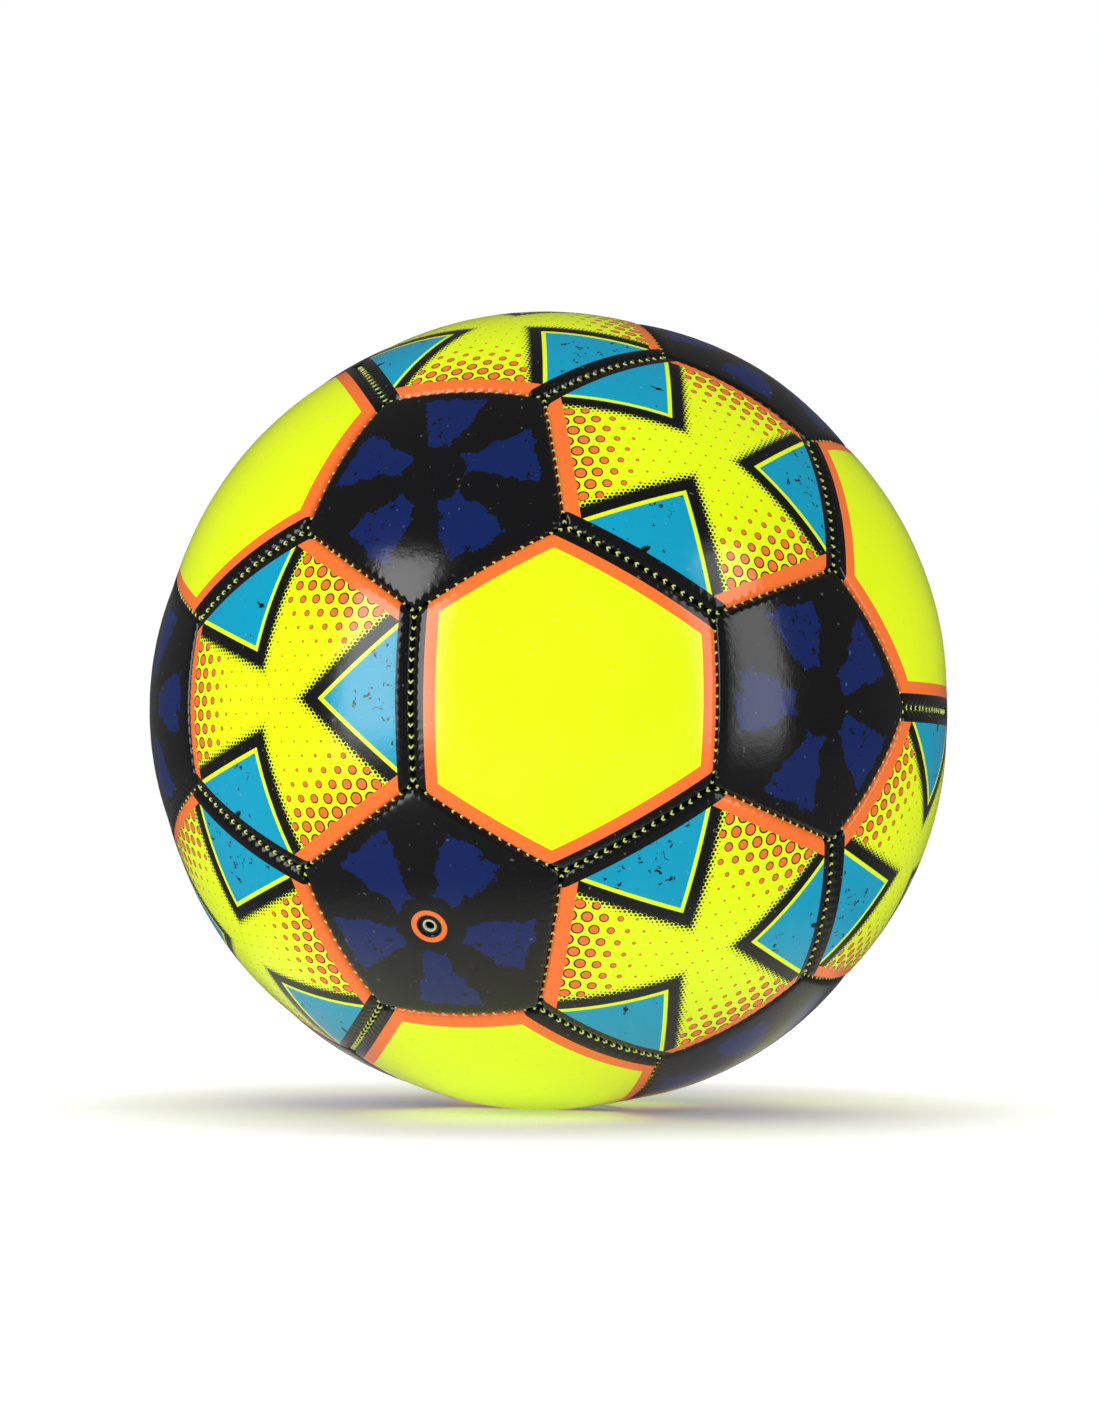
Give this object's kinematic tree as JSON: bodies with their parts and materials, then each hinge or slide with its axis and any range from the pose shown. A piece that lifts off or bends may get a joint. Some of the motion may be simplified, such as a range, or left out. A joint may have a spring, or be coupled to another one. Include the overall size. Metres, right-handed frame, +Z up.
{
  "type": "soccer ball",
  "caption": "Round stitched soccer ball with pentagon and hexagon panels over foam and cloth, an air bladder and a needle valve; it is inflated, kicked and rolled.",
  "frame": {"origin": "centre of the ball", "axes": "-Y through the centre of the front hexagon, +X towards the pentagon on that hexagon's right, +Z up"},
  "size_m": [0.2192, 0.22, 0.2182],
  "materials": {
    "hexagon_cover": "glossy coated synthetic leather, neon yellow with printed bands",
    "pentagon_cover": "glossy coated synthetic leather, near black with a navy print",
    "foam": "closed-cell foam",
    "lining_cloth": "woven lining",
    "seam_thread": "waxed thread",
    "bladder_rubber": "matte",
    "boot_rubber": "matte",
    "plug_rubber": "satin"
  },
  "bodies": {
    "ball": {"valve_pentagon_panel": "pentagon_cover", "pentagon_panel_01": "pentagon_cover", "pentagon_panel_02": "pentagon_cover", "pentagon_panel_03": "pentagon_cover", "pentagon_panel_04": "pentagon_cover", "pentagon_panel_05": "pentagon_cover", "pentagon_panel_06": "pentagon_cover", "pentagon_panel_07": "pentagon_cover", "pentagon_panel_08": "pentagon_cover", "pentagon_panel_09": "pentagon_cover", "pentagon_panel_10": "pentagon_cover", "pentagon_panel_11": "pentagon_cover", "hexagon_panel_01": "hexagon_cover", "hexagon_panel_02": "hexagon_cover", "hexagon_panel_03": "hexagon_cover", "hexagon_panel_04": "hexagon_cover", "hexagon_panel_05": "hexagon_cover", "hexagon_panel_06": "hexagon_cover", "hexagon_panel_07": "hexagon_cover", "hexagon_panel_08": "hexagon_cover", "hexagon_panel_09": "hexagon_cover", "hexagon_panel_10": "hexagon_cover", "hexagon_panel_11": "hexagon_cover", "hexagon_panel_12": "hexagon_cover", "hexagon_panel_13": "hexagon_cover", "hexagon_panel_14": "hexagon_cover", "hexagon_panel_15": "hexagon_cover", "hexagon_panel_16": "hexagon_cover", "hexagon_panel_17": "hexagon_cover", "hexagon_panel_18": "hexagon_cover", "hexagon_panel_19": "hexagon_cover", "hexagon_panel_20": "hexagon_cover", "pentagon_foam_pads": "foam", "hexagon_foam_pads": "foam", "pentagon_linings": "lining_cloth", "hexagon_linings": "lining_cloth", "pentagon_seam_thread": "seam_thread", "hexagon_seam_thread": "seam_thread", "bladder": "bladder_rubber", "valve_patch": "bladder_rubber", "valve_boot": "boot_rubber"},
    "valve_insert": {"valve_plug": "plug_rubber"}
  },
  "joints": [
    {"name": "valve_plug_pull", "type": "slide", "parent": "ball", "child": "valve_insert", "axis": [-0.3035, -0.7947, -0.5257], "range_m": [0, 0.016]}
  ]
}
